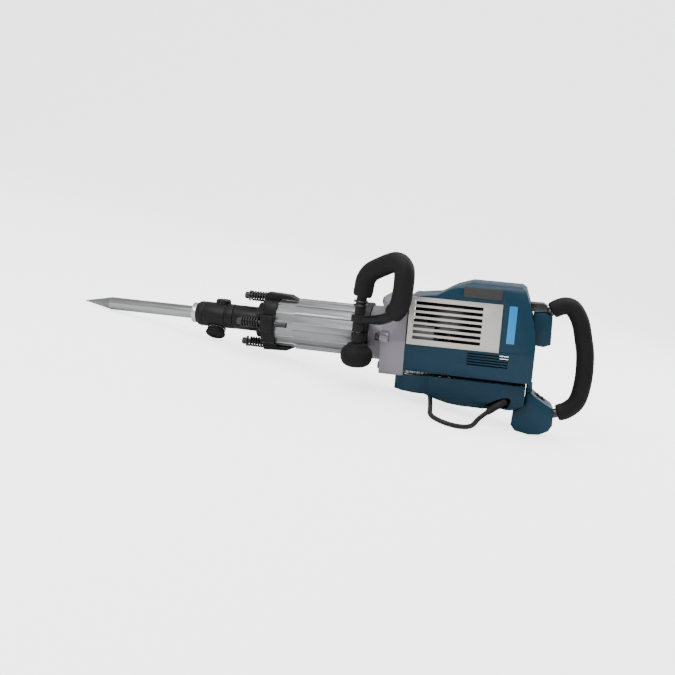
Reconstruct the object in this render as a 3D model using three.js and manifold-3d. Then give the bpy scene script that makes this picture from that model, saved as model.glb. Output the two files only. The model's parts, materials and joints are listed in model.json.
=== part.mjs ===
// Electric jackhammer lying on its side rest: chisel towards -X, rear handle towards +X, +Z up.
// Every piece is drawn in the tool's own frame, X along the hammering axis from the chisel's point,
// and the whole tool is then leaned nose down until it lies on the floor.
import * as THREE from "three";
import { mergeVertices } from "three/addons/utils/BufferGeometryUtils.js";
import Module from "manifold-3d";

const wasm = await Module();
wasm.setup();

const GAP = 0.3; // clearance between neighbouring pieces
const LEAN = THREE.MathUtils.degToRad(9.64); // nose-down lean of the tool at rest
const ORIGIN = { x: -556.48, y: 34.95, z: 4.44 }; // puts the base's centre on the frame's origin
const CHISEL_R = 14; // round body of the bull point
const HEX_AF = 29; // across flats of the hexagonal shank
const PIN_X = 310; // station of the lock pin
const PIN_TILT = 55; // degrees that the pin points below level, towards the near side
const CAP_X = 322; // station of the cap on the sleeve's top
const PIN_OFF = 18.5; // lock pin's axis from the hammering axis
const PIN_R = 6;
const CHISEL_TRAVEL = 30;
const SLEEVE_R = 27; // nose sleeve and neck
const BOLT_RING = 50; // tie bolts from the hammering axis
const BARREL_R = 49;
const BARREL = [453, 655];
const BORE_R = 31.3; // working cylinder's bore
const CYL_R = 38;
const COLUMN = { x: 640, y: -89 }; // the side handle's clamp column, upright
const FLANGE_RING = 69; // gearcase bolts from the hammering axis
const CRANK_X = 752;
const MOTOR_X = 816.5;
const CRANK_R = 16;
const ROD_LENGTH = 87;
const MODULE = 3;
const GEAR_TEETH = 35;
const PINION_TEETH = 8;
const WALL = 4; // plastic housing's wall

// ---------- solids ----------
function solid(geometry) {
  const g = geometry.index ? geometry.toNonIndexed() : geometry.clone();
  g.deleteAttribute("normal");
  g.deleteAttribute("uv");
  const m = mergeVertices(g, 1e-4);
  return new wasm.Manifold(new wasm.Mesh({
    numProp: 3,
    vertProperties: new Float32Array(m.attributes.position.array),
    triVerts: new Uint32Array(m.index.array),
  }));
}

function geometryOf(manifold) {
  const mesh = manifold.getMesh();
  const g = new THREE.BufferGeometry();
  g.setAttribute("position", new THREE.BufferAttribute(new Float32Array(mesh.vertProperties), 3));
  g.setIndex(new THREE.BufferAttribute(new Uint32Array(mesh.triVerts), 1));
  return g;
}

function box(x0, x1, y0, y1, z0, z1) {
  const g = new THREE.BoxGeometry(x1 - x0, y1 - y0, z1 - z0);
  return solid(g.translate((x0 + x1) / 2, (y0 + y1) / 2, (z0 + z1) / 2));
}

// A turned body on +Z from its outline of [radius, height] points.
function turned(points, sides = 24) {
  const first = points[0], last = points[points.length - 1];
  const outline = [[0, first[1]], ...points, [0, last[1]]].map(([r, z]) => new THREE.Vector2(r, z));
  return solid(new THREE.LatheGeometry(outline, sides).rotateX(Math.PI / 2));
}

const rod = (r, z0, z1, sides = 20) => turned([[r, z0], [r, z1]], sides);

// The same along the hammering axis.
const turnedX = (points, sides = 24) => turned(points, sides).rotate([0, 90, 0]);
const rodX = (r, x0, x1, sides = 20) => rod(r, x0, x1, sides).rotate([0, 90, 0]);

// An outline of [x, z] points, made thick from y0 to y1.
function slab(points, y0, y1, bevel = 0) {
  const shape = new THREE.Shape(points.map(([x, z]) => new THREE.Vector2(x, z)));
  const depth = y1 - y0 - 2 * bevel;
  const g = new THREE.ExtrudeGeometry(shape, {
    depth, bevelEnabled: bevel > 0, bevelSize: bevel, bevelThickness: bevel,
    bevelOffset: -bevel, bevelSegments: 2,
  });
  return solid(g.translate(0, 0, bevel).rotateX(Math.PI / 2)).translate([0, y1, 0]);
}

// An outline of [y, z] points, made long from x0 to x1.
function bar(points, x0, x1) {
  const shape = new THREE.Shape(points.map(([y, z]) => new THREE.Vector2(y, z)));
  const g = new THREE.ExtrudeGeometry(shape, { depth: x1 - x0, bevelEnabled: false });
  return solid(g.rotateX(Math.PI / 2).rotateZ(Math.PI / 2)).translate([x0, 0, 0]);
}

// A rounded rectangle's outline.
function rounded(y0, y1, z0, z1, r, steps = 4) {
  const points = [];
  const corners = [[y1 - r, z0 + r, -90], [y1 - r, z1 - r, 0], [y0 + r, z1 - r, 90], [y0 + r, z0 + r, 180]];
  for (const [cy, cz, start] of corners)
    for (let i = 0; i <= steps; i++) {
      const a = THREE.MathUtils.degToRad(start + (90 * i) / steps);
      points.push([cy + r * Math.cos(a), cz + r * Math.sin(a)]);
    }
  return points;
}

// A round bar bent along a smooth line through its points.
function bent(points, r, sides = 12, steps = 40, closed = false) {
  const line = new THREE.CatmullRomCurve3(points.map((p) => new THREE.Vector3(...p)), closed,
      "centripetal");
  const ring = new THREE.Shape();
  for (let i = 0; i < sides; i++) {
    const a = (2 * Math.PI * i) / sides;
    if (i) ring.lineTo(r * Math.cos(a), r * Math.sin(a));
    else ring.moveTo(r, 0);
  }
  return solid(new THREE.ExtrudeGeometry(ring, { steps, extrudePath: line, bevelEnabled: false }));
}

// ---------- the tool ----------
const tool = new THREE.Group();
const group = new THREE.Group();
group.add(tool);

function piece(name, s, colour, roughness = 0.5, metalness = 0, parent = tool) {
  const mesh = new THREE.Mesh(geometryOf(s), new THREE.MeshStandardMaterial({ color: colour, roughness,
      metalness }));
  mesh.name = name;
  parent.add(mesh);
}

const STEEL = 0xa9abad, BLACK = 0x1c1c1e, RUBBER = 0x2b2b2c, SILVER = 0xb9bbbd, BLUE = 0x1b5470;
const LILAC = 0x9c96a2, PLATE = 0xcdc8c0, COPPER = 0xb06a3a;

// The lock pin crosses the nose under the chisel: its own frame has +Z along the pin, towards the knob.
const tilt = THREE.MathUtils.degToRad(PIN_TILT);
const acrossNose = (s) => s.rotate([90 + PIN_TILT, 0, 0])
  .translate([PIN_X, PIN_OFF * Math.sin(tilt), -PIN_OFF * Math.cos(tilt)]);
const HEX_TURN = 25; // brings a flat of the hexagon to face the pin

function chisel() {
  const taper = turnedX([[1.2, 1], [CHISEL_R, 64]], 4);
  const flats = turnedX([[CHISEL_R, 62], [CHISEL_R, 275]], 24);
  const shank = turned([[HEX_AF / 2 / Math.cos(Math.PI / 6), 260], [HEX_AF / 2 / Math.cos(Math.PI / 6),
      413],
    [HEX_AF / 2 - 1, 416]], 6);
  const hex = shank.rotate([0, 90, 0]).rotate([HEX_TURN, 0, 0]);
  const notch = box(PIN_X - PIN_R - 1 - CHISEL_TRAVEL, PIN_X + PIN_R + 1, -20, 20,
      PIN_OFF - PIN_R - 0.6, 28)
    .rotate([180 + PIN_TILT, 0, 0]);
  piece("chisel", taper.add(flats).add(hex).subtract(notch), STEEL, 0.35, 1);
}

function nose() {
  piece("nose_ring", turnedX([[18, 256], [22, 257], [22, 266], [18, 266]], 28)
    .subtract(rodX(17.8, 250, 280)), 0xc8c8c6, 0.3, 1);
  const sleeve = turnedX([[21, 266.3], [25.5, 271], [SLEEVE_R, 276], [SLEEVE_R, 283], [26, 283.6], [26,
      285],
    [SLEEVE_R, 285.6], [SLEEVE_R, 331], [25.6, 332], [25.6, 333.4], [SLEEVE_R, 334.4], [SLEEVE_R,
        350]], 28);
  const boss = acrossNose(turned([[19.5, 0], [19.5, 20], [20.5, 21], [20.5, 23], [19, 24]], 24))
    .add(rod(16.5, 0, 28.2, 24).translate([CAP_X, 3, 0]));
  const bores = rodX(17.8, 260, 360).add(acrossNose(rod(PIN_R + GAP, -18, 60, 20)));
  const seat = acrossNose(rod(21, 24, 34, 24));
  piece("retainer_sleeve", sleeve.add(boss).subtract(bores).subtract(seat), BLACK, 0.45);
  piece("lock_cap", turned([[16.5, 28.5], [16.5, 32.5], [14, 35]], 24)
      .translate([CAP_X, 3, 0]), BLACK, 0.5);
  piece("lock_detent", acrossNose(turned([[17.5, 24.3], [19, 25], [19, 26.4]], 24)
    .subtract(rod(PIN_R + GAP, 20, 50, 20))), 0x77787a, 0.35, 1);
  const flat = box(-PIN_R - 1, PIN_R + 1, -PIN_R - 1, -3.4, -17, 17);
  piece("lock_pin", acrossNose(rod(PIN_R, -17.5, 32, 20).subtract(flat)), STEEL, 0.3, 1);
  piece("lock_knob", acrossNose(turned([[18.5, 26.7], [20, 27.5], [20.5, 33], [22, 34.3], [22, 37.5],
      [19, 40],
    [10, 40.4]], 24)
    .subtract(rod(PIN_R + GAP, 20, 32 + GAP, 20))), RUBBER, 0.6);
  const neck = turnedX([[25, 350.3], [26.5, 352], [26.5, 420], [25.5, 421], [25.5, 446]], 28);
  const hole = turned([[HEX_AF / 2 / Math.cos(Math.PI / 6) + 0.4, 340],
    [HEX_AF / 2 / Math.cos(Math.PI / 6) + 0.4, 449]], 6).rotate([0, 90, 0]).rotate([HEX_TURN, 0, 0]);
  piece("tool_holder", neck.subtract(hole), BLACK, 0.4, 0.3);
}

// The front casting: a hub with four lugs that take the buffer bolts,
// two of them with an arm laid back on the barrel.
function yoke() {
  let s = rodX(38, 408, 452, 24);
  const lug = slab([[410, 25], [424, 62], [474, 60], [492, 51.5], [452.7, 51.5], [452.7, 25]], -17, 17, 2);
  const pad = slab([[410, 25], [424, 61], [449, 61], [452.7, 58], [452.7, 25]], -17, 17, 2);
  for (let i = 0; i < 4; i++) s = s.add((i % 2 ? pad : lug).rotate([90 * i, 0, 0]));
  s = s.add(bar(rounded(-46, 46, -46, 46, 16, 2), 424, 452));
  s = s.subtract(rodX(26.5 + 2 * GAP, 400, 460, 28));
  for (let i = 0; i < 4; i++) s = s.subtract(rodX(5.4, 400, 481, 16)
      .translate([0, 0, BOLT_RING]).rotate([90 * i, 0, 0]));
  s = s.subtract(turnedX([[BARREL_R + 2.5, 452.4], [BARREL_R + 2.5, 520]], 28)
    .subtract(rodX(2, 400, 530)));
  piece("front_yoke", s, 0x242426, 0.55, 0.4);
}

function bufferBolts() {
  const names = ["top", "near", "bottom", "far"];
  names.forEach((name, i) => {
    const place = (s) => s.translate([0, 0, BOLT_RING]).rotate([90 * i, 0, 0]);
    const bolt = turnedX([[6.5, 371], [7.5, 372.5], [7.5, 381], [12, 381.2], [12, 383.4]], 6 * 3)
      .add(rodX(5, 375, 478, 16));
    piece("buffer_bolt_" + name, place(bolt), 0x3a3a3c, 0.4, 0.8);
    const turns = 5.5, wire = 1.9, coil = 9.3, from = 386, to = 418, points = [];
    for (let k = 0; k <= turns * 8; k++) {
      const a = (k / 8) * 2 * Math.PI;
      points.push([from + ((to - from) * k) / (turns * 8), coil * Math.cos(a), coil * Math.sin(a)]);
    }
    piece("buffer_spring_" + name, place(bent(points, wire, 4, turns * 8)), 0x141416, 0.35, 0.6);
  });
}

// The barrel: a cast tube with flats and four lengthwise ribs in line with the tie bolts.
function barrel() {
  let s = rodX(BARREL_R, BARREL[0], BARREL[1], 24);
  for (let i = 0; i < 4; i++) {
    s = s.add(bar(rounded(-9, 9, 30, 55, 3, 1), BARREL[0], BARREL[1]).rotate([90 * i, 0, 0]));
    s = s.add(bar(rounded(-3.5, 3.5, 40, 53, 1.5, 1), BARREL[0], BARREL[1]).rotate([90 * i + 32, 0, 0]));
    s = s.add(bar(rounded(-3.5, 3.5, 40, 53, 1.5, 1), BARREL[0], BARREL[1]).rotate([90 * i - 32, 0, 0]));
  }
  s = s.intersect(rodX(55, BARREL[0] + 40, BARREL[1], 24).add(rodX(51, BARREL[0], BARREL[0] + 45, 24)));
  s = s.subtract(rodX(CYL_R + GAP, 440, 670, 28));
  for (let i = 0; i < 4; i++) s = s.subtract(rodX(5 + GAP, 440, 480, 16)
      .translate([0, 0, BOLT_RING]).rotate([90 * i, 0, 0]));
  const grooveBand = turnedX([[90, 620], [90, 655.5]], 28).subtract(rodX(51.5, 610, 660, 28));
  piece("barrel", s.subtract(grooveBand), SILVER, 0.35, 0.9);
}

// Hammer mechanism: impact bolt, striker and piston in the working cylinder.
function hammerWorks() {
  piece("cylinder", turnedX([[CYL_R, 456], [CYL_R, 692]], 28).subtract(rodX(BORE_R, 470, 700, 28))
    .subtract(rodX(19.3, 450, 480, 28)), 0x8d8f91, 0.3, 1);
  piece("impact_bolt", turnedX([[13, 447.5], [14.5, 449], [14.5, 458], [19, 460], [19, 470], [24, 476],
      [24, 488],
    [16, 494], [16, 505]], 24), STEEL, 0.3, 1);
  piece("striker", turnedX([[27, 516], [31, 519], [31, 574]], 24), STEEL, 0.3, 1);
  const piston = turnedX([[31, 592], [31, 655]], 24).subtract(rodX(26, 605, 660, 28));
  piece("piston", piston, 0xb4b0a6, 0.35, 1);
}

// Crankshaft, gear and connecting rod, the crank at its front dead centre.
function crankDrive() {
  const pinX = CRANK_X - CRANK_R, wristX = pinX - ROD_LENGTH;
  const shaft = rod(10, -88, -18, 24).add(rod(28, -34, -18, 24)).translate([CRANK_X, 0, 0])
    .add(rod(8, -20, 12, 24).translate([pinX, 0, 0]));
  piece("crankshaft", shaft, STEEL, 0.3, 1);
  const big = rod(8.3, -8, 8, 24).translate([pinX, 0, 0]);
  const rodBody = rod(16, -8, 8, 24).translate([pinX, 0, 0]).add(rod(9.5, -8, 8, 24)
      .translate([wristX, 0, 0]))
    .add(box(wristX, pinX - 8, -5.5, 5.5, -6, 6));
  piece("con_rod", rodBody.subtract(big).subtract(rod(5.3, -10, 10, 20)
      .translate([wristX, 0, 0])), 0x9a9c9e, 0.35, 1);
  piece("wrist_pin", rod(5, -13, 13, 20).translate([wristX, 0, 0]), STEEL, 0.25, 1);
}

function toothed(teeth, z0, z1, bore) {
  const r = (teeth * MODULE) / 2, points = [];
  for (let i = 0; i < teeth; i++)
    for (const [f, d] of [[-0.25, -3], [-0.11, 2.3], [0.11, 2.3], [0.25, -3]]) {
      const a = (2 * Math.PI * (i + f)) / teeth;
      points.push(new THREE.Vector2((r + d) * Math.cos(a), (r + d) * Math.sin(a)));
    }
  const g = new THREE.ExtrudeGeometry(new THREE.Shape(points), { depth: z1 - z0, bevelEnabled: false });
  const s = solid(g.translate(0, 0, z0));
  return bore ? s.subtract(rod(bore, z0 - 1, z1 + 1, 24)) : s;
}

function gears() {
  const gear = toothed(GEAR_TEETH, -70, -54, 10 + GAP).rotate([0, 0, 180 / GEAR_TEETH]);
  piece("crank_gear", gear.translate([CRANK_X, 0, 0]), 0x86888a, 0.35, 1);
  const shaft = toothed(PINION_TEETH, -73, -51, 0).add(rod(7, -90, 99, 20)).add(rod(22, 24, 66, 24));
  piece("armature", shaft.translate([MOTOR_X, 0, 0]), COPPER, 0.4, 0.8);
  const stator = rod(46, 22, 68, 28).subtract(rod(23, 10, 80, 24));
  piece("stator", stator.translate([MOTOR_X, 0, 0]), 0x6b6d70, 0.4, 0.8);
  let fan = rod(16, 73, 88, 24).add(rod(42, 73, 75.5, 24));
  for (let i = 0; i < 9; i++) fan = fan.add(box(14, 41, -1.2, 1.2, 74, 86).rotate([0, 0, 40 * i]));
  piece("fan", fan.subtract(rod(7 + GAP, 60, 95, 20)).translate([MOTOR_X, 0, 0]), 0x2a2a2c, 0.5);
}

function bearing(name, x, z0, z1, inner, outer) {
  piece(name, rod(outer, z0, z1, 28).subtract(rod(inner + GAP, z0 - 1, z1 + 1, 24))
      .translate([x, 0, 0]), 0xb8babc, 0.25, 1);
}

// The housing's cross-section: upright sides down to the waist line, drawn in below it.
const WAIST = -4, HALF = 66;
const section = (top, low, half = HALF) => [[-half + 16, top], [half - 16, top], [half - 5, top - 6],
  [half, top - 18], [half, WAIST], [half - 2, WAIST - 2], [half - 6, low + 14], [half - 13, low],
  [-half + 13, low], [-half + 6, low + 14], [-half + 2, WAIST - 2], [-half, WAIST], [-half, top - 18],
      [-half + 5, top - 6]];

function gearcase() {
  const collar = rodX(57, 655.6, 684, 28);
  let s = bar(section(84, -78, 65), 683, 734);
  for (const a of [0, 90, 180, 270]) s = s.add(rodX(12, 683, 700, 20)
      .translate([0, 0, FLANGE_RING]).rotate([a, 0, 0]));
  s = s.add(collar);
  s = s.add(box(733, 796, -54, 54, -50, -37)).add(box(733, 790, -54, -50, -50, 30))
      .add(box(733, 790, 50, 54, -50, 30));
  s = s.subtract(rodX(CYL_R + GAP, 650, 695, 28)).subtract(box(694, 740, -49.5, 49.5, -36.7, 60));
  s = s.subtract(rod(56, -80, -50, 24).translate([CRANK_X, 0, 0]));
  s = s.subtract(rod(20.6, -60, -30, 28).translate([CRANK_X, 0, 0]));
  s = s.subtract(rod(29.5, -36.9, -10, 24).translate([CRANK_X, 0, 0]));
  s = s.subtract(rod(8, -60, -30, 24).translate([MOTOR_X, 0, 0]))
      .subtract(rod(15, -90, -50.5, 24).translate([MOTOR_X, 0, 0]));
  for (let i = 0; i < 4; i++) s = s.subtract(rodX(4.3, 640, 700, 16)
      .translate([0, 0, FLANGE_RING]).rotate([90 * i, 0, 0]));
  piece("gearcase", s, LILAC, 0.5, 0.6);
  ["top", "near", "bottom", "far"].forEach((name, i) => {
    const bolt = turnedX([[7.5, 672.5], [8.2, 674], [8.2, 682.7]], 24).add(rodX(4, 680, 694, 16))
      .subtract(turnedX([[4, 670], [4, 677]], 6));
    piece("gearcase_bolt_" + name, bolt.translate([0, 0, FLANGE_RING])
        .rotate([90 * i, 0, 0]), 0x1a1a1c, 0.35, 0.7);
  });
}

// Side outline of the blue housing, in the X-Z plane.
const TOP_LINE = [[735, 89], [791, 97], [823, 116], [856, 128], [957, 128], [966, 122], [978, 91],
    [992, 39], [996, 8]];

function housing() {
  const outer = slab([[735, -72], ...TOP_LINE, [996, -72]], -HALF - 1, HALF + 1)
    .intersect(bar(section(129, -72), 730, 1000));
  const boss = slab([[985, 10], [985, 78], [1010, 78], [1024, 70], [1026, 14], [1012, 8]], -19, 19, 3);
  const inner = slab([[734, -80], [734, 84], [789, 92], [820, 111], [857, 123], [954, 123], [962, 118],
      [974, 89],
    [987, 39], [990, 8], [990, -80]], -HALF + WALL, HALF - WALL)
        .intersect(bar(section(124, -90, HALF - WALL), 730, 1000));
  let s = outer.add(boss).subtract(inner);
  for (const y of [-1, 1]) {
    s = s.subtract(y < 0 ? box(736, 925.3, -70, -HALF + 2.5, -8.6, 91.6) : box(736, 925.3, HALF - 2.5,
        70, -8.6, 91.6));
    s = s.subtract(y < 0 ? box(746, 890, -70, -50, 3, 84) : box(746, 890, 50, 70, 3, 84));
    s = s.subtract(y < 0 ? box(842, 922, -70, -HALF + 2.4, 97.5, 121) : box(842, 922, HALF - 2.4, 70,
        97.5, 121));
    for (let i = 0; i < 5; i++) {
      const z = -14 - i * 5.6;
      s = s.subtract(y < 0 ? box(862, 945, -70, -40, z - 1.6, z + 1.6) : box(862, 945, 40, 70, z - 1.6,
        z + 1.6));
    }
  }
  s = s.subtract(rodX(6.2, 1000, 1040, 24).translate([0, 0, 44]));
  piece("upper_housing", s, BLUE, 0.42);
}

// Silver louvred covers let into both sides, and the dark panels above them.
function covers() {
  for (const [name, side] of [["near", -1], ["far", 1]]) {
    let s = slab([[737, -4.5], [737, 90.6], [924, 91.2], [924.6, -3.4]], 0, 4, 1);
    for (let i = 0; i < 7; i++) s = s.subtract(box(748, 886, -5, 10, 4 + i * 11.8, 11 + i * 11.8));
    s = s.add(slab([[737, -8], [737, -3.5], [924.6, -2.4], [924.6, -6.5]], 1.6, 4.6));
    piece("louvre_cover_" + name, side < 0 ? s.translate([0, -HALF - 2, 0])
        .subtract(box(700, 950, -HALF + 2.2, 0, -20, 100))
      : s.mirror([0, 1, 0]).translate([0, HALF + 2, 0]).subtract(box(700, 950, 0, HALF - 2.2, -20,
        100)), PLATE, 0.4, 0.5);
    const p = slab([[843, 98.3], [843, 120], [921, 120.2], [921, 98.5]], 0, 1.9, 0.4);
    piece("dark_panel_" + name, p.translate([0, side < 0 ? -HALF + 0.3 : HALF - 2.2, 0]), 0x3c3a3a, 0.6);
  }
  piece("blank_label", slab([[937, 14], [937, 90], [953, 90], [953, 14]], 0, 1, 0.2)
      .translate([0, -HALF - 1.3, 0]), 0x4aa3d8, 0.4);
}

// A round way along the lead's boot, in the tool's frame.
function leadWay(r, from, to) {
  const lean = THREE.MathUtils.radToDeg(LEAN);
  return alongLead(rod(r, from, to, 20)).translate([-ORIGIN.x, -ORIGIN.y, -ORIGIN.z]).rotate([0, lean, 0]);
}

// The belly: the lower shell that closes the gear drive, with a lump over the big gear.
function belly() {
  const low = [[718, -72.4], [722, -100], [730, -108], [759, -111], [782, -111], [807, -120], [828,
      -126], [853, -129],
    [912, -129], [962, -125], [985, -112], [985, -72.4]];
  let s = slab(low, -54, 54).intersect(bar([[-40, -129.5], [40, -129.5], [50, -114], [53, -90], [53,
      -72], [-53, -72],
    [-53, -90], [-50, -114]], 700, 1000));
  s = s.add(rod(62, -106, -72.4, 24).translate([CRANK_X + 6, 0, 0])
      .intersect(box(718, 830, -65, 65, -106, -72.4)));
  const inner = slab([[724, -60], [728, -98], [760, -105], [782, -105], [830, -120], [853, -123], [912,
      -123],
    [958, -119], [976, -108], [976, -60]], -44, 44);
  s = s.subtract(inner).subtract(rod(56, -100, -60, 24).translate([CRANK_X + 4, 0, 0]));
  s = s.subtract(leadWay(15, -18, 70)).subtract(box(700, 734.6, -70, 70, -78.5, -60));
  piece("belly", s, 0x174a63, 0.45);
}

// The rear handle's bow, from its upper block round to the switch box.
const BOW = [[1004, 0, 77], [1018, 0, 80], [1032, 0, 90], [1048, 0, 95.5], [1064, 0, 90], [1080, 0,
    65], [1090, 0, 30],
  [1097, 0, -3], [1099, 0, -52], [1092, 0, -96], [1074, 0, -118], [1048, 0, -129], [1012, 0, -134]];

// The switch box with its flat foot, laid level when the tool leans.
function switchBox() {
  const outline = [[965, -129.4], [986, -112], [986, -88], [998, -86], [1012, -96], [1040, -112],
      [1046, -122], [1047, -150],
    [1040, -163], [1022, -172.5], [1001, -174.5], [972, -169.6], [963, -158]];
  let s = slab(outline, -31, 31, 5);
  s = s.add(slab([[986.2, -112], [986.2, -73], [999, -73], [999, -112]], -26, 26, 2));
  s = s.subtract(bent(BOW, 10.6, 8, 22));
  const pocket = box(-13, 13, -9, 9, -7, 20).rotate([0, 28, 0]).translate([1015, 0, -100]);
  piece("switch_box", s.subtract(pocket), BLUE, 0.45);
  const rocker = slab([[-12, -5.5], [-12, 2], [-7, 6.5], [0, 4.5], [7, 6], [12, 1.5], [12, -5.5]], -8,
      8, 1.2);
  piece("switch_rocker", rocker.rotate([0, 28, 0]).translate([1015, 0, -100]), 0x8c1d18, 0.5);
}

// Rear handle: a steel bow in a rubber grip, held by a metal block above and by the switch box below.
function rearHandle() {
  piece("handle_mount", slab([[976, 62], [970, 96], [1003, 97], [1012, 92], [1012, 80], [997, 79.4],
      [997, 79]], -17, 17, 2)
    .subtract(box(960, 1030, -20, 20, 50, 79.3)).subtract(outerShell())
    .subtract(bent(BOW, 10.6, 8, 22)), 0x55585c, 0.45, 0.8);
  piece("rear_handle_bow", bent(BOW, 10, 8, 22).subtract(outerShell()), 0x3a3a3c, 0.4, 0.8);
  const grip = bent([[1014, 0, 79.4], ...BOW.slice(2, 11), [1051, 0, -128]], 18, 12, 20);
  piece("rear_grip", grip.subtract(bent(BOW, 10.6, 8, 22)).subtract(box(980, 1048.5, -40, 40, -200, -90))
    .subtract(box(960, 1012.4, -40, 40, 50, 120)).subtract(slab([[985, 5], [985, 78.4], [1010, 78.4],
        [1028, 70], [1026, 5]], -20, 20)), RUBBER, 0.8);
}

// The blue shell's outside with a little clearance, used to seat what is fixed on it.
function outerShell() {
  return slab([[900, -72], [900, 128.4], [957.3, 128.4], [966.3, 122.3], [978.4, 91.1], [992.4, 39],
      [996.4, 8], [996.4, -72]], -70, 70)
    .add(slab([[985, 8], [985, 78.4], [1010.2, 78.4], [1024.3, 70.3], [1026.3, 14], [1012, 7.6]],
        -19.3, 19.3));
}

// Side handle: a split band round the barrel, an upright clamp bolt, a closed loop and a big knob.
function sideHandle() {
  const { x, y } = COLUMN;
  let band = rodX(62, 626, 654, 24);
  band = band.add(box(627, 653, y, -52, -13, 30)).add(rod(13, -13, 30, 24).translate([x, y, 0]));
  band = band.subtract(rodX(BARREL_R + 3, 600, 700, 24)).subtract(rod(6 + GAP, -40, 60, 24)
      .translate([x, y, 0]));
  band = band.subtract(box(600, 700, -110, -40, 7, 10));
  piece("clamp_band", band, 0x222224, 0.5, 0.3);
  piece("clamp_bolt", rod(6, -44, 44, 24).add(rod(8.5, 42.5, 50, 6)).translate([x, y, 0]), STEEL, 0.3, 1);
  const knob = turned([[12, -13.6], [20, -16], [22, -20], [31, -26], [33, -34], [33, -44], [29, -54],
      [20, -61], [9, -64]].reverse(), 28);
  let bite = knob.subtract(rod(6 + GAP, -44 - GAP, 0, 24));
  for (let i = 0; i < 6; i++) bite = bite.subtract(rod(7, -60, -22, 8).translate([36.5, 0, 0])
      .rotate([0, 0, 60 * i]));
  piece("clamp_knob", bite.translate([x, y, 0]), RUBBER, 0.6);
  const line = [[x, y, 36], [x, y, 62], [x + 4, y, 98], [x + 7, y - 1, 118], [x + 17, y - 5, 133],
    [x + 36, y - 14, 145], [x + 60, y - 25, 157], [x + 74, y - 32, 159], [x + 85, y - 37, 151],
        [x + 89, y - 39.5, 134],
    [x + 88, y - 39, 98], [x + 83, y - 37, 72], [x + 68, y - 30, 52], [x + 40, y - 17, 39], [x + 4,
        y - 2, 33]];
  let frame = bent(line, 11, 8, 28).add(rod(17, 30.4, 43.6, 24).translate([x, y, 0]));
  frame = frame.subtract(rod(6 + GAP, 20, 60, 24).translate([x, y, 0]))
      .subtract(rod(8.9, 42.2, 53, 24).translate([x, y, 0]));
  frame = frame.subtract(box(x - 40, x + 110, y - 90, y + 40, 0, 30.4));
  piece("side_handle_frame", frame, 0x262628, 0.5, 0.2);
  let grip = bent(line.slice(2, 13), 20.5, 12, 22).subtract(bent(line, 11.7, 8, 28));
  grip = grip.subtract(box(x - 40, x + 56, y - 90, y + 40, 20, 70));
  piece("side_handle_grip", grip, RUBBER, 0.8);
}

// The lead, in the part's own frame: out of its boot, down to the floor, round under the belly to its coil.
const LEAD_R = 5;
const LEAD_EXIT = [396, -4, 58], LEAD_DIR = [-0.65, -0.24, -0.72];
const out = (d) => LEAD_EXIT.map((v, i) => v + LEAD_DIR[i] * d);
const LEAD = [out(2), out(16), out(32), out(47), [358, -19.5, 15.5], [352, -32, 8.6], [348.5, -52,
    5.6], [344, -80, 5.3],
  [333, -106, 5.3], [313, -121, 5.3], [289, -120, 5.3], [269, -105, 5.3], [259, -82, 5.3], [255, -50, 5.3],
  [250, 0, 5.3], [243, 60, 5.3], [234, 120, 5.3], [228, 170, 5.3], [227, 212, 5.3]];
const COIL = { x: 305, y: 215, inner: 51, outer: 72, height: 31 };

// A body drawn on +Z, laid along the lead's way out.
function alongLead(s) {
  const yaw = THREE.MathUtils.radToDeg(Math.atan2(LEAD_DIR[1], LEAD_DIR[0]));
  const pitch = THREE.MathUtils.radToDeg(Math.acos(LEAD_DIR[2] / Math.hypot(...LEAD_DIR)));
  return s.rotate([0, pitch, yaw]).translate(LEAD_EXIT);
}

function cord() {
  const boot = turned([[9.5, 0], [9.5, 5], [8, 7], [8, 14], [6.9, 44], [6.4, 45]], 20)
      .subtract(rod(LEAD_R + GAP, -2, 50, 16));
  piece("cord_boot", alongLead(boot), 0x161616, 0.7, 0, group);
  piece("cord_lead", bent(LEAD, LEAD_R, 8, 44), 0x1b1b1b, 0.7, 0, group);
  const ring = turned([[COIL.outer - 4, GAP], [COIL.outer, 4], [COIL.outer, COIL.height - 4],
      [COIL.outer - 4, COIL.height]], 28)
    .subtract(rod(COIL.inner, -5, COIL.height + 5, 24));
  piece("cord_coil", ring.translate([COIL.x, COIL.y, 0]), 0x1b1b1b, 0.7, 0, group);
  const plug = rodX(18, 418, 448, 24).add(turnedX([[8, 406], [15, 412], [16, 420]], 24))
    .add(rodX(2.4, 446, 467, 12).translate([0, -9.5, 0])).add(rodX(2.4, 446, 467, 12)
        .translate([0, 9.5, 0]));
  piece("plug", plug.translate([0, COIL.y, 18.3]), 0x1e1e1e, 0.6, 0, group);
}

chisel();
nose();
yoke();
bufferBolts();
barrel();
hammerWorks();
crankDrive();
gears();
bearing("crank_bearing_upper", CRANK_X, -49.5, -37.5, 10, 20.2);
bearing("crank_bearing_lower", CRANK_X, -88, -78, 10, 20);
bearing("motor_bearing_lower", MOTOR_X, -90, -80, 7, 14);
bearing("motor_bearing_upper", MOTOR_X, 90, 98, 7, 15);
gearcase();
housing();
covers();
belly();
switchBox();
rearHandle();
sideHandle();

cord();

tool.rotation.y = -LEAN;
tool.position.set(ORIGIN.x, ORIGIN.y, ORIGIN.z);

export default group;
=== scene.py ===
"""Electric jackhammer, lying nose down on a pale studio floor."""
import bpy, bmesh, math, json
from mathutils import Vector, Matrix


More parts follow.
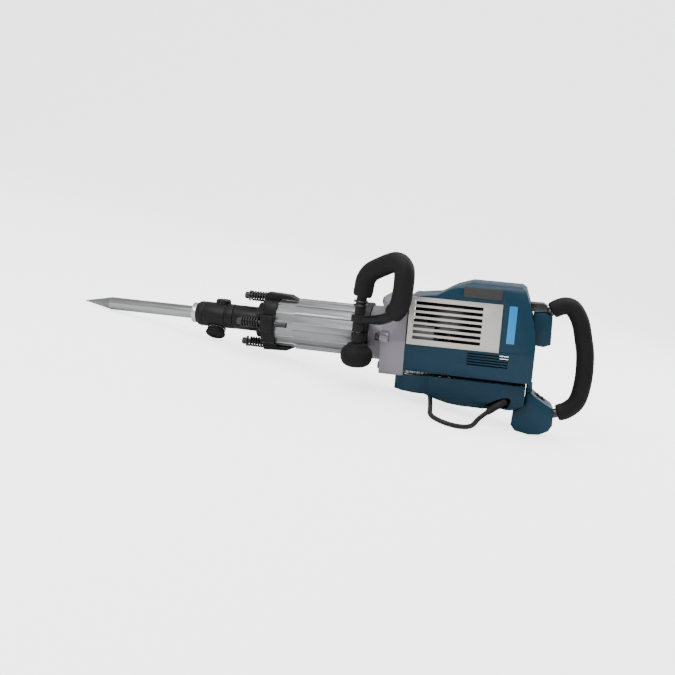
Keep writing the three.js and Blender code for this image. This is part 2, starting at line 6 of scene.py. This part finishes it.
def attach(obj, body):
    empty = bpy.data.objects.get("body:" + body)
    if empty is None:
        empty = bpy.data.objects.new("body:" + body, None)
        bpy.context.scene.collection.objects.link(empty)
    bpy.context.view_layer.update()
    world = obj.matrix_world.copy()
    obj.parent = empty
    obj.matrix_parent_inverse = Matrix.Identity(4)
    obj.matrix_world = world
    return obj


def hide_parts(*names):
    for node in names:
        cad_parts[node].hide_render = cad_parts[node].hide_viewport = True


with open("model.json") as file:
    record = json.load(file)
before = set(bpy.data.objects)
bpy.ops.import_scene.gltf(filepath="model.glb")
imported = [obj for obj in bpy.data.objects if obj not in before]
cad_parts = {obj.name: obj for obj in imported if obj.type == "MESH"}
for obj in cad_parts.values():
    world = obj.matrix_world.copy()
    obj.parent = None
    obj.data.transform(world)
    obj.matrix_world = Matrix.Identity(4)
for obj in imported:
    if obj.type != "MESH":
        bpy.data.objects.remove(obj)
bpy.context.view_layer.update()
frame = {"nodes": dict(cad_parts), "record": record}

# ---------------------------------------------------------------- camera
# The view of somebody standing at its near side, a little towards the rear handle, with the camera
# rolled so that the tool's axis falls gently to the right.
LEAN = math.radians(9.64)              # how far the tool leans nose down on the floor
ORIGIN = (-0.55648, 0.03495, 0.00444)


def from_tool(x, y, z):
    """A direction in the tool's own frame, X along its hammering axis, as one in the row frame."""
    return Vector((x * math.cos(LEAN) - z * math.sin(LEAN), y, x * math.sin(LEAN) + z * math.cos(LEAN)))


def tool_point(x, y, z):
    """A point given in millimetres from the chisel's point, in metres in the row frame."""
    return from_tool(x / 1000, y / 1000, z / 1000) + Vector(ORIGIN)


def shot(azimuth, elevation, roll):
    back = Vector((math.sin(azimuth) * math.cos(elevation), -math.cos(azimuth) * math.cos(elevation),
                   math.sin(elevation)))
    right = Vector((math.cos(azimuth), math.sin(azimuth), 0))
    up = back.cross(right)
    right, up = (right * math.cos(roll) + up * math.sin(roll), up * math.cos(roll) - right * math.sin(roll))
    return [from_tool(*v) for v in (right, up, back)]


camera_data = bpy.data.cameras.new("camera")
camera_data.lens, camera_data.sensor_width = 52.3, 36
camera_data.clip_start, camera_data.clip_end = 0.05, 60
camera = bpy.data.objects.new("camera", camera_data)
bpy.context.scene.collection.objects.link(camera)
right, up, back = shot(math.radians(10.8), math.radians(8.5), math.radians(4.7))
place = tool_point(581, 0, -21) + back * 2.1
camera.matrix_world = Matrix(((right.x, up.x, back.x, place.x), (right.y, up.y, back.y, place.y),
                              (right.z, up.z, back.z, place.z), (0, 0, 0, 1)))
bpy.context.scene.camera = camera


# ---------------------------------------------------------------- lead
# The mains lead is a 10 mm rubber cable, three metres long. It leaves the belly through a tapered boot,
# drops to the floor, goes round under the belly to a tidy coil behind the tool, and ends in its plug.
def noise(tree, scale, detail=4.0, rough=0.55, stretch=(1, 1, 1)):
    """A noise texture over the piece's own space, stretched along its axes."""
    coords, mapping = tree.nodes.new("ShaderNodeTexCoord"), tree.nodes.new("ShaderNodeMapping")
    mapping.inputs["Scale"].default_value = stretch
    mapping.inputs["Rotation"].default_value = (0, LEAN, 0)
    tex = tree.nodes.new("ShaderNodeTexNoise")
    for key, value in (("Scale", scale), ("Detail", detail), ("Roughness", rough)):
        tex.inputs[key].default_value = value
    tree.links.new(coords.outputs["Object"], mapping.inputs["Vector"])
    tree.links.new(mapping.outputs["Vector"], tex.inputs["Vector"])
    return tex


def group_tree(name, ins, outs):
    """An empty node group with its named float inputs and its outputs."""
    tree = bpy.data.node_groups.new(name, "ShaderNodeTree")
    for label, value in ins:
        tree.interface.new_socket(label, in_out="INPUT",
                                  socket_type="NodeSocketFloat").default_value = value
    for label in outs:
        tree.interface.new_socket(label, in_out="OUTPUT", socket_type="NodeSocketFloat")
    return tree, tree.nodes.new("NodeGroupInput"), tree.nodes.new("NodeGroupOutput")


def math_node(tree, kind, a, b=None):
    node = tree.nodes.new("ShaderNodeMath")
    node.operation = kind
    for i, value in enumerate((a, b)):
        if value is None:
            continue
        if isinstance(value, (int, float)):
            node.inputs[i].default_value = value
        else:
            tree.links.new(value, node.inputs[i])
    return node.outputs[0]


def make_grain():
    """Fine moulded or cast grain: a height, and a mask of broad uneven patches."""
    tree, gi, go = group_tree("grain", [("Fineness", 900.0), ("Patch Scale", 9.0)], ["Height", "Patches"])
    coords = tree.nodes.new("ShaderNodeTexCoord")
    for socket, key, detail in (("Height", "Fineness", 2.0), ("Patches", "Patch Scale", 5.0)):
        tex = tree.nodes.new("ShaderNodeTexNoise")
        tex.inputs["Detail"].default_value = detail
        tree.links.new(coords.outputs["Object"], tex.inputs["Vector"])
        tree.links.new(gi.outputs[key], tex.inputs["Scale"])
        tree.links.new(tex.outputs[0], go.inputs[socket])
    return tree


def make_wear():
    """Edge wear: a mask bright on outer edges, broken up by noise, and a mask of dust on upward faces."""
    tree, gi, go = group_tree("wear", [("Radius", 0.0015), ("Amount", 1.0), ("Break Up", 60.0)],
                              ["Edges", "Dust"])
    bevel, geo = tree.nodes.new("ShaderNodeBevel"), tree.nodes.new("ShaderNodeNewGeometry")
    bevel.samples = 4
    tree.links.new(gi.outputs["Radius"], bevel.inputs["Radius"])
    dot = tree.nodes.new("ShaderNodeVectorMath")
    dot.operation = "DOT_PRODUCT"
    tree.links.new(bevel.outputs["Normal"], dot.inputs[0])
    tree.links.new(geo.outputs["Normal"], dot.inputs[1])
    edge = math_node(tree, "MULTIPLY", math_node(tree, "SUBTRACT", 1.0, dot.outputs["Value"]), 6.0)
    coords, tex = tree.nodes.new("ShaderNodeTexCoord"), tree.nodes.new("ShaderNodeTexNoise")
    tex.inputs["Detail"].default_value = 6.0
    tree.links.new(coords.outputs["Object"], tex.inputs["Vector"])
    tree.links.new(gi.outputs["Break Up"], tex.inputs["Scale"])
    rough = math_node(tree, "MULTIPLY", math_node(tree, "SUBTRACT", tex.outputs[0], 0.42), 5.0)
    mask = math_node(tree, "MULTIPLY", math_node(tree, "MULTIPLY", edge, rough), gi.outputs["Amount"])
    mask = math_node(tree, "MINIMUM", math_node(tree, "MAXIMUM", mask, 0.0), 1.0)
    tree.links.new(mask, go.inputs["Edges"])
    split = tree.nodes.new("ShaderNodeSeparateXYZ")
    tree.links.new(geo.outputs["Normal"], split.inputs[0])
    dust = math_node(tree, "MULTIPLY", math_node(tree, "MAXIMUM", split.outputs["Z"], 0.0), tex.outputs[0])
    tree.links.new(dust, go.inputs["Dust"])
    return tree


GRAIN, WEAR = make_grain(), make_wear()


def finish_of(name, colour, worn, roughness, metallic=0.0, fine=900.0, bump=0.12, amount=0.8, spread=0.12,
              coat=0.0, streak=None, dust=0.0, radius=0.0015):
    """A material: its colour, worn-edge colour, uneven gloss and fine bump, streaks and dust."""
    mat = bpy.data.materials.new(name)
    mat.use_nodes = True
    tree = mat.node_tree
    shader = tree.nodes["Principled BSDF"]
    shader.inputs["Metallic"].default_value = metallic
    shader.inputs["Coat Weight"].default_value = coat
    shader.inputs["Coat Roughness"].default_value = 0.2
    shader.inputs["Specular IOR Level"].default_value = 0.5 if metallic > 0.4 else 0.22
    grain, wear = tree.nodes.new("ShaderNodeGroup"), tree.nodes.new("ShaderNodeGroup")
    grain.node_tree, wear.node_tree = GRAIN, WEAR
    grain.inputs["Fineness"].default_value = fine
    wear.inputs["Amount"].default_value = amount
    wear.inputs["Radius"].default_value = radius
    patches = grain.outputs["Patches"]
    height = grain.outputs["Height"]
    if streak:
        tex = noise(tree, streak[0], 5.0, 0.6, streak[1])
        height = math_node(tree, "ADD", math_node(tree, "MULTIPLY", tex.outputs[0], streak[2]), height)
        patches = math_node(tree, "MULTIPLY", math_node(tree, "ADD", patches, tex.outputs[0]), 0.5)
    ramp = tree.nodes.new("ShaderNodeMapRange")
    ramp.inputs["From Min"].default_value, ramp.inputs["From Max"].default_value = 0.3, 0.7
    ramp.inputs["To Min"].default_value = roughness - spread
    ramp.inputs["To Max"].default_value = roughness + spread
    tree.links.new(patches, ramp.inputs["Value"])
    tree.links.new(ramp.outputs["Result"], shader.inputs["Roughness"])
    tone = tree.nodes.new("ShaderNodeMix")
    tone.data_type = "RGBA"
    tone.inputs["A"].default_value = (*[c * 0.86 for c in colour], 1)
    tone.inputs["B"].default_value = (*[min(1, c * 1.14) for c in colour], 1)
    tree.links.new(patches, tone.inputs["Factor"])
    edges = tree.nodes.new("ShaderNodeMix")
    edges.data_type = "RGBA"
    edges.inputs["B"].default_value = (*worn, 1)
    tree.links.new(wear.outputs["Edges"], edges.inputs["Factor"])
    tree.links.new(tone.outputs["Result"], edges.inputs["A"])
    colour_out = edges.outputs["Result"]
    if dust:
        dusty = tree.nodes.new("ShaderNodeMix")
        dusty.data_type = "RGBA"
        dusty.inputs["B"].default_value = (0.42, 0.4, 0.37, 1)
        tree.links.new(math_node(tree, "MULTIPLY", wear.outputs["Dust"], dust), dusty.inputs["Factor"])
        tree.links.new(colour_out, dusty.inputs["A"])
        colour_out = dusty.outputs["Result"]
    tree.links.new(colour_out, shader.inputs["Base Color"])
    bumpy = tree.nodes.new("ShaderNodeBump")
    bumpy.inputs["Strength"].default_value = bump
    bumpy.inputs["Distance"].default_value = 0.0006
    tree.links.new(height, bumpy.inputs["Height"])
    tree.links.new(bumpy.outputs["Normal"], shader.inputs["Normal"])
    return mat


def shown(name, mesh, body, material, nodes=()):
    """Puts a piece in the scene: it rides on a body, stands for CAD nodes, which it hides, and takes a
    finish.
    """
    piece = bpy.data.objects.new(name, mesh)
    bpy.context.scene.collection.objects.link(piece)
    if material:
        mesh.materials.append(material)
    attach(piece, body)
    if nodes:
        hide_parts(*nodes)
    return piece


def smooth_line(points, step=0.004):
    """Points close together along a smooth line through the given ones."""
    pts = [Vector(p) for p in points]
    pts = [pts[0] * 2 - pts[1]] + pts + [pts[-1] * 2 - pts[-2]]
    out = []
    for i in range(1, len(pts) - 2):
        a, b, c, d = pts[i - 1:i + 3]
        n = max(2, int((c - b).length / step))
        for k in range(n):
            t = k / n
            out.append(0.5 * (2 * b + (c - a) * t + (2 * a - 5 * b + 4 * c - d) * t * t
                              + (3 * b - a - 3 * c + d) * t ** 3))
    return out + [pts[-2]]


def tube_curve(name, line, radius, sides=5, radii=None):
    """A round curve along a line of points."""
    curve = bpy.data.curves.new(name, "CURVE")
    curve.dimensions, curve.bevel_depth, curve.bevel_resolution = "3D", radius, sides
    curve.use_fill_caps = True
    spline = curve.splines.new("POLY")
    spline.points.add(len(line) - 1)
    for i, p in enumerate(line):
        spline.points[i].co = (*p, 1)
        if radii:
            spline.points[i].radius = radii[i]
    spline.use_smooth = True
    return curve


cord_rubber = finish_of("cord rubber", (0.009, 0.009, 0.0095), (0.04, 0.04, 0.04), 0.55, fine=1500,
                        bump=0.1, amount=0.2, dust=0.15)
EXIT, DOWN = Vector((0.396, -0.004, 0.058)), Vector((-0.65, -0.24, -0.72))
lead = [EXIT + DOWN * d for d in (0.002, 0.016, 0.032, 0.047)]
lead += [Vector(p) / 1000 for p in (
    (358, -19.5, 15.5), (352, -32, 8.6), (348.5, -52, 5.6), (344, -80, 5.3), (333, -106, 5.3),
    (313, -121, 5.3), (289, -120, 5.3), (269, -105, 5.3), (259, -82, 5.3), (255, -50, 5.3),
    (250, 0, 5.3), (243, 60, 5.3), (234, 120, 5.3), (228, 170, 5.3), (228, 196, 5.3))]
COIL = Vector((0.305, 0.215, 0))
# The coil's two layers, how far it rises in a turn, and the height of its lowest line.
COLUMNS, RISE, FLOOR_Z = (0.0565, 0.0681), 0.0106, 0.0053
# The points in a turn, those of the inner layer, and where the outer layer's begin and end.
STEPS, INNER_STEPS, OUTER_START, OUTER_END = 32, 132, 8, 68
lead += [COIL + Vector((-0.0765, 0.004, 0.0053)), COIL + Vector((-0.069, 0.028, 0.0053)),
         COIL + Vector((-0.05, 0.048, 0.0053)), COIL + Vector((-0.024, 0.0545, 0.0053))]
turns = []
for k in range(INNER_STEPS + 1):
    a = math.radians(90 - 360 / STEPS * k)
    turns.append(COIL + Vector((COLUMNS[0] * math.cos(a), COLUMNS[0] * math.sin(a),
                                FLOOR_Z + RISE * k / STEPS)))
for k in range(OUTER_START, OUTER_END):
    a = math.radians(90 - 360 / STEPS * (INNER_STEPS + k))
    turns.append(COIL + Vector((COLUMNS[1] * math.cos(a), COLUMNS[1] * math.sin(a),
                                FLOOR_Z + RISE * (INNER_STEPS - (k - OUTER_START)) / STEPS)))
lead += turns
lead += [COIL + Vector(p) / 1000 for p in ((66, 21, 18), (75.5, 9.6, 17.5), (87, 2.6, 18),
                                           (100.5, 0, 18.3))]
lead_line = smooth_line(lead, 0.004)
lead_length = sum((b - a).length for a, b in zip(lead_line, lead_line[1:]))
print("lead length", round(lead_length, 4))
cord = shown("lead", tube_curve("lead", lead_line, 0.005, 4), "tool", cord_rubber,
             ("cord_lead", "cord_coil"))


def turned_mesh(name, outline, sides=72):
    """A turned body on +Z from [radius, height] points, its ends closed where they leave the axis."""
    mesh, bm = bpy.data.meshes.new(name), bmesh.new()
    rings = []
    for r, z in outline:
        if r <= 1e-6:
            rings.append([bm.verts.new((0, 0, z))])
        else:
            angles = [2 * math.pi * i / sides for i in range(sides)]
            rings.append([bm.verts.new((r * math.cos(a), r * math.sin(a), z)) for a in angles])
    for a, b in zip(rings, rings[1:]):
        for i in range(sides):
            j = (i + 1) % sides
            if len(a) == 1 and len(b) == 1:
                continue
            if len(a) == 1:
                bm.faces.new((a[0], b[j], b[i]))
            elif len(b) == 1:
                bm.faces.new((a[i], a[j], b[0]))
            else:
                bm.faces.new((a[i], a[j], b[j], b[i]))
    bmesh.ops.recalc_face_normals(bm, faces=bm.faces)
    for f in bm.faces:
        f.smooth = True
    bm.to_mesh(mesh)
    bm.free()
    return mesh


def soften(piece, width=0.0006, angle=35, segments=3):
    """Rounds a piece's corners."""
    mod = piece.modifiers.new("soften", "BEVEL")
    mod.width, mod.segments, mod.limit_method, mod.angle_limit = width, segments, "ANGLE", math.radians(angle)
    mod.harden_normals = True
    mod.use_clamp_overlap = True
    return piece


def lay_along(mesh, start, direction):
    """Turns a body made on +Z to stand at a point along a direction."""
    turn = Vector((0, 0, 1)).rotation_difference(Vector(direction).normalized()).to_matrix().to_4x4()
    mesh.transform(Matrix.Translation(start) @ turn)
    return mesh


# The boot is moulded rubber: a collar, then a tapered sleeve with rings that let it bend.
boot_line = [(0.0053, 0.0), (0.0095, 0.0), (0.0095, 0.005), (0.008, 0.006)]
for k in range(8):
    r = 0.0082 - 0.00018 * k
    boot_line += [(r, 0.0072 + 0.0046 * k), (r, 0.0096 + 0.0046 * k), (r - 0.0009, 0.0102 + 0.0046 * k),
                  (r - 0.0009, 0.0112 + 0.0046 * k)]
boot_line += [(0.0063, 0.0455), (0.0053, 0.046)]
boot = shown("boot", lay_along(turned_mesh("boot", boot_line, 40), EXIT, DOWN), "tool",
             cord_rubber, ("cord_boot",))
soften(boot, 0.0003)
# The plug is moulded in one with its two pins.
plug_line = [(0, 0), (0.0075, 0.0), (0.009, 0.004), (0.0145, 0.008), (0.0155, 0.012), (0.0176, 0.014),
             (0.018, 0.017), (0.018, 0.038), (0.0172, 0.0415), (0.0155, 0.042), (0, 0.042)]
plug = shown("plug_body", lay_along(turned_mesh("plug_body", plug_line, 56), Vector((0.406, 0.215, 0.0183)),
                                    (1, 0, 0)),
             "tool", cord_rubber, ("plug",))
bright = finish_of("bright ring", (0.62, 0.62, 0.61), (0.8, 0.8, 0.78), 0.24, 1.0, fine=400, bump=0.05,
                   amount=0.3)
pins, pin_line = [], [(0, 0), (0.0024, 0), (0.0024, 0.0175), (0.0014, 0.019), (0, 0.019)]
for side in (-1, 1):
    pin = shown("plug_pin_" + ("left" if side < 0 else "right"),
                lay_along(turned_mesh("pin", pin_line, 24), Vector((0.448, 0.215 + 0.0095 * side, 0.0183)),
                          (1, 0, 0)), "tool", bright)
    pins.append(pin)


# ---------------------------------------------------------------- chisel
# A bull point forged from 29 mm hexagonal bar: a round body, a four-sided point and a notch for the lock pin.
# The point is ground, and the body keeps its mill finish with scratches along it.
def body_of(node):
    """The body that a CAD node is part of."""
    return next(name for name, nodes in frame["record"]["behaviour"]["bodies"].items() if node in nodes)


def finished(node, material, round_off=0.0008, angle=32):
    """A worked copy of a CAD node: its seams joined, its corners rounded, its surface smooth."""
    source = frame["nodes"][node].data
    mesh, bm = bpy.data.meshes.new(node + "_finished"), bmesh.new()
    bm.from_mesh(source)
    bmesh.ops.remove_doubles(bm, verts=bm.verts, dist=2e-5)
    bmesh.ops.dissolve_limit(bm, angle_limit=math.radians(1.5), verts=bm.verts, edges=bm.edges)
    for f in bm.faces:
        f.smooth = True
    bm.to_mesh(mesh)
    bm.free()
    mesh.materials.clear()
    piece = shown(node + "_finished", mesh, body_of(node), material, (node,))
    piece.matrix_world = frame["nodes"][node].matrix_world.copy()
    return soften(piece, round_off, angle)


steel = finish_of("ground steel", (0.36, 0.365, 0.37), (0.62, 0.62, 0.62), 0.34, 1.0, fine=500, bump=0.12,
                  amount=0.5, streak=(60, (0.05, 1, 1), 0.8))
finished("chisel", steel, 0.0008)

# ---------------------------------------------------------------- nose
# The nose is a black painted steel sleeve with turned grooves. A lock pin with a rubber-clad knob crosses it,
# and a bright collar closes its front against dust.
black_paint = finish_of("black casting paint", (0.005, 0.005, 0.0055), (0.09, 0.09, 0.095), 0.44, fine=700,
                        bump=0.35, amount=0.45, dust=0.03, spread=0.1)
black_rubber = finish_of("black rubber", (0.005, 0.005, 0.0053), (0.025, 0.025, 0.025), 0.66, fine=1300,
                         bump=0.55, amount=0.2, dust=0.03, spread=0.1)
finished("nose_ring", bright, 0.0006)
finished("retainer_sleeve", black_paint, 0.0007)
finished("lock_cap", black_paint, 0.0008)
finished("lock_detent", bright, 0.0005)
finished("lock_pin", steel, 0.0004)
finished("lock_knob", black_rubber, 0.0012)
finished("tool_holder", black_paint, 0.0007)

# ---------------------------------------------------------------- front yoke
# An iron casting painted black. Its four lugs hold long bolts whose coil springs soften the recoil.
dark_steel = finish_of("dark steel", (0.06, 0.06, 0.063), (0.3, 0.3, 0.3), 0.34, 0.9, fine=500, bump=0.08,
                       amount=0.6)
spring_steel = finish_of("spring steel", (0.035, 0.035, 0.037), (0.25, 0.25, 0.25), 0.3, 0.8, fine=600,
                         bump=0.05, amount=0.4)
finished("front_yoke", black_paint, 0.0016)
SIDES = ("top", "near", "bottom", "far")
for i, side in enumerate(SIDES):
    finished("buffer_bolt_" + side, dark_steel, 0.0005)
    a = math.radians(90 * i)
    points = []
    for k in range(int(5.5 * 24) + 1):
        w = 2 * math.pi * k / 24
        y, z = 9.3 * math.cos(w), 50 + 9.3 * math.sin(w)
        points.append(tool_point(386 + 32 * k / (5.5 * 24), y * math.cos(a) - z * math.sin(a),
                                 y * math.sin(a) + z * math.cos(a)))
    shown("spring_" + side, tube_curve("spring_" + side, points, 0.0021, 3), "tool",
          spring_steel, ("buffer_spring_" + side,))

# ---------------------------------------------------------------- barrel
# The barrel is cast in light alloy with lengthwise ribs, then brushed along its length.
alloy = finish_of("barrel alloy", (0.3, 0.305, 0.31), (0.6, 0.6, 0.6), 0.4, 0.9, fine=500, bump=0.12,
                  amount=0.5, streak=(90, (0.03, 1, 1), 0.9))
finished("barrel", alloy, 0.0012)

# ---------------------------------------------------------------- hammer mechanism
# Hardened steel parts run in the oiled cylinder, and the crank drives them through a forged rod.
for node in ("cylinder", "impact_bolt", "striker", "piston", "con_rod", "wrist_pin", "crankshaft",
             "crank_gear", "clamp_bolt"):
    finished(node, steel, 0.0003)
for node in ("crank_bearing_upper", "crank_bearing_lower", "motor_bearing_lower", "motor_bearing_upper"):
    finished(node, bright, 0.0003)
copper = finish_of("lacquered copper", (0.42, 0.17, 0.08), (0.6, 0.3, 0.15), 0.35, 0.8, fine=300, bump=0.4,
                   amount=0.3, streak=(70, (1, 1, 0.05), 1.2))
core = finish_of("stator core", (0.12, 0.12, 0.125), (0.3, 0.3, 0.3), 0.4, 0.85, fine=400, bump=0.3,
                 amount=0.4, streak=(120, (0.05, 0.05, 1), 1.2))
dark_plastic = finish_of("dark plastic", (0.045, 0.044, 0.044), (0.09, 0.09, 0.09), 0.55, fine=1100,
                         bump=0.35, amount=0.3)
finished("armature", copper, 0.0004)
finished("stator", core, 0.0008)
finished("fan", dark_plastic, 0.0004)

# ---------------------------------------------------------------- gearcase
# A sand-cast light alloy case, left bare with a grey-lilac skin, bolted to the barrel by four black bolts.
cast = finish_of("gearcase casting", (0.26, 0.245, 0.28), (0.5, 0.49, 0.52), 0.48, 0.5, fine=450, bump=0.5,
                 amount=0.6, dust=0.1)
finished("gearcase", cast, 0.0016)
for side in SIDES:
    finished("gearcase_bolt_" + side, dark_steel, 0.0006)

# ---------------------------------------------------------------- motor housing
# The blue housing is moulded in glass-filled plastic with a satin grain. The belly shell closes it below.
blue = finish_of("blue moulding", (0.002, 0.030, 0.058), (0.02, 0.08, 0.13), 0.42, fine=1000, bump=0.25,
                 amount=0.3, coat=0.06, dust=0.03, spread=0.08)
# The belly takes the housing's blue made darker: painted shade for its downward-facing shell, not a different
# moulding.
shaded_blue = finish_of("blue moulding with painted shade", (0.002, 0.024, 0.046), (0.02, 0.07, 0.11), 0.44, fine=1000,
                      bump=0.25, amount=0.3, coat=0.05, dust=0.02, spread=0.08)
finished("upper_housing", blue, 0.0026)
finished("belly", shaded_blue, 0.0024)

# ---------------------------------------------------------------- side covers
# The louvred covers are pressed from sheet and painted silver. Dark grey panels sit above them.
silver_paint = finish_of("silver paint", (0.56, 0.54, 0.5), (0.75, 0.74, 0.72), 0.36, 0.35, fine=800,
                         bump=0.08, amount=0.5, streak=(40, (0.1, 1, 1), 0.3), dust=0.05)
for side in ("near", "far"):
    finished("louvre_cover_" + side, silver_paint, 0.0006)
    finished("dark_panel_" + side, dark_plastic, 0.0004)
# A thin dark sheet inside the far wall is painted shade. It is no part of the tool: it stands where the
# housing's inside is only shade and keeps daylight from showing through both covers' slots.
shade_sheet, bm = bpy.data.meshes.new("painted_shade_sheet"), bmesh.new()
bmesh.ops.create_cube(bm, size=1)
shade_sheet_middle = tool_point(835, 56.5, 20)
for v in bm.verts:
    v.co = shade_sheet_middle + from_tool(0.180 * v.co.x, 0.001 * v.co.y, 0.128 * v.co.z)
bm.to_mesh(shade_sheet)
bm.free()
shown("painted_shade_sheet", shade_sheet, "tool", dark_plastic)
label = finish_of("blank label", (0.01, 0.24, 0.6), (0.1, 0.35, 0.65), 0.34, fine=600, bump=0.04,
                  amount=0.2, coat=0.4)
finished("blank_label", label, 0.0002)

# ---------------------------------------------------------------- switch box and rear handle
# The switch box is moulded in the same blue plastic. The handle is a bent steel bow in a thick rubber sleeve.
finished("switch_box", blue, 0.0028)
rocker = finish_of("rocker plastic", (0.014, 0.014, 0.015), (0.05, 0.05, 0.05), 0.4, fine=900, bump=0.2,
                   amount=0.2)
finished("switch_rocker", rocker, 0.0008)
finished("handle_mount", dark_steel, 0.0012)
finished("rear_handle_bow", dark_steel, 0.0004)

BOW = [(1004, 0, 77), (1018, 0, 80), (1032, 0, 90), (1048, 0, 95.5), (1064, 0, 90), (1080, 0, 65),
       (1090, 0, 30), (1097, 0, -3), (1099, 0, -52), (1092, 0, -96), (1074, 0, -118), (1054, 0, -127)]


def grip_radii(line, ends, swell):
    """Radius factors along a grip: rounded ends and a slight swell in the palm."""
    n, out = len(line), []
    for i in range(n):
        t = i / (n - 1)
        edge = min(t, 1 - t) * (n - 1)
        end = math.sqrt(max(0.0, 1 - (1 - min(1, edge / ends)) ** 2))
        out.append((0.86 + 0.14 * end) * (1 + swell * math.sin(math.pi * t)))
    return out


rear_line = smooth_line([tool_point(*p) for p in BOW[1:]], 0.003)[1:]
shown("rear_grip_rubber",
      tube_curve("rear_grip_rubber", rear_line, 0.0178, 8, grip_radii(rear_line, 3, 0.02)), "tool",
      black_rubber, ("rear_grip",))

# ---------------------------------------------------------------- side handle
# A split band clamps round the barrel. Its upright bolt carries the loop and the knob that tightens it.
finished("clamp_band", black_paint, 0.0012)
# The knob is a smooth rubber-clad ball, flattened below, with a turned groove under its neck.
knob_line = [(0, -44.3), (6.3, -44.3), (6.3, -13.6), (12, -13.6), (19.6, -15.6), (21.8, -18.6),
             (21.2, -20.6), (26.5, -22.6)]
knob_line += [(33 * math.cos(math.radians(a)) ** 0.62,
               -40 - 24 * math.sin(math.radians(a))) for a in range(-44, 90, 4)]
knob_line += [(0, -64)]
COLUMN = tool_point(640, -89, 0)
shown("knob_rubber", lay_along(turned_mesh("knob_rubber", [(r / 1000, z / 1000) for r, z in knob_line]),
                               COLUMN,
      from_tool(0, 0, 1)), "knob", black_rubber, ("clamp_knob",))
# Two dark steel collars hold the grip's lower end on the column.
for low, high in ((62, 66), (70, 74)):
    ring = turned_mesh("collar", [(0.0106, low / 1000), (0.014, low / 1000), (0.0146, (low + 1) / 1000),
                                  (0.0146, (high - 1) / 1000), (0.014, high / 1000), (0.0106, high / 1000)],
                                  48)
    shown("column_collar_" + str(low), lay_along(ring, COLUMN, from_tool(0, 0, 1)), "side_handle",
          dark_steel)
finished("side_handle_frame", black_paint, 0.0008)
X, Y = 640, -89
LOOP = [(X + 4, Y, 98), (X + 7, Y - 1, 118), (X + 17, Y - 5, 133), (X + 36, Y - 14, 145),
        (X + 60, Y - 25, 157),
        (X + 74, Y - 32, 159), (X + 85, Y - 37, 151), (X + 89, Y - 39.5, 134), (X + 88, Y - 39, 98),
        (X + 83, Y - 37, 72), (X + 70, Y - 31, 54)]
loop_line = smooth_line([tool_point(X + 2, Y, 82)] + [tool_point(*p) for p in LOOP], 0.003)
shown("side_grip_rubber",
      tube_curve("side_grip_rubber", loop_line, 0.0202, 8, grip_radii(loop_line, 3, 0.02)), "side_handle",
      black_rubber, ("side_handle_grip",))

# ---------------------------------------------------------------- studio
# A pale sweep of floor and wall under large soft lights.
floor_mesh, bm = bpy.data.meshes.new("sweep"), bmesh.new()
profile = [(-7, 0), (-3, 0), (3.0, 0)] + [(3.0 + 2.5 * math.sin(a), 2.5 - 2.5 * math.cos(a))
                                      for a in [math.radians(7.5 * k) for k in range(1, 13)]] + [(5.5, 9)]
rows = [[bm.verts.new((x, y, z)) for x in (-12, 12)] for y, z in profile]
for a, b in zip(rows, rows[1:]):
    bm.faces.new((a[0], a[1], b[1], b[0])).smooth = True
bm.to_mesh(floor_mesh)
bm.free()
paper = bpy.data.materials.new("paper")
paper.use_nodes = True
paper.node_tree.nodes["Principled BSDF"].inputs["Base Color"].default_value = (0.96, 0.96, 0.96, 1)
paper.node_tree.nodes["Principled BSDF"].inputs["Emission Color"].default_value = (1, 1, 1, 1)
CAMERA_GLOW = 2.4  # brightens the sweep for the camera without adding light to the tool
path = paper.node_tree.nodes.new("ShaderNodeLightPath")
paper.node_tree.links.new(math_node(paper.node_tree, "MULTIPLY", path.outputs["Is Camera Ray"],
                                    CAMERA_GLOW),
                          paper.node_tree.nodes["Principled BSDF"].inputs["Emission Strength"])
paper.node_tree.nodes["Principled BSDF"].inputs["Roughness"].default_value = 0.9
floor_mesh.materials.append(paper)
sweep = bpy.data.objects.new("sweep", floor_mesh)
bpy.context.scene.collection.objects.link(sweep)


def lamp(name, place, aim, size, power):
    data = bpy.data.lights.new(name, "AREA")
    data.shape, data.size, data.energy = "DISK", size, power
    light = bpy.data.objects.new(name, data)
    light.location = place
    light.rotation_mode = "QUATERNION"
    light.rotation_quaternion = (Vector(aim) - Vector(place)).to_track_quat("-Z", "Y")
    bpy.context.scene.collection.objects.link(light)


lamp("key", (-1.0, -2.2, 2.4), (0, 0, 0.1), 1.6, 70)
lamp("top", (0.3, 0.4, 2.8), (0, 0, 0.1), 2.2, 60)
lamp("rim", (1.8, 1.8, 1.6), (0, 0, 0.15), 1.2, 30)
world = bpy.data.worlds.new("studio")
world.use_nodes = True
world.node_tree.nodes["Background"].inputs["Color"].default_value = (1, 1, 1, 1)
world.node_tree.nodes["Background"].inputs["Strength"].default_value = 0.55
bpy.context.scene.world = world
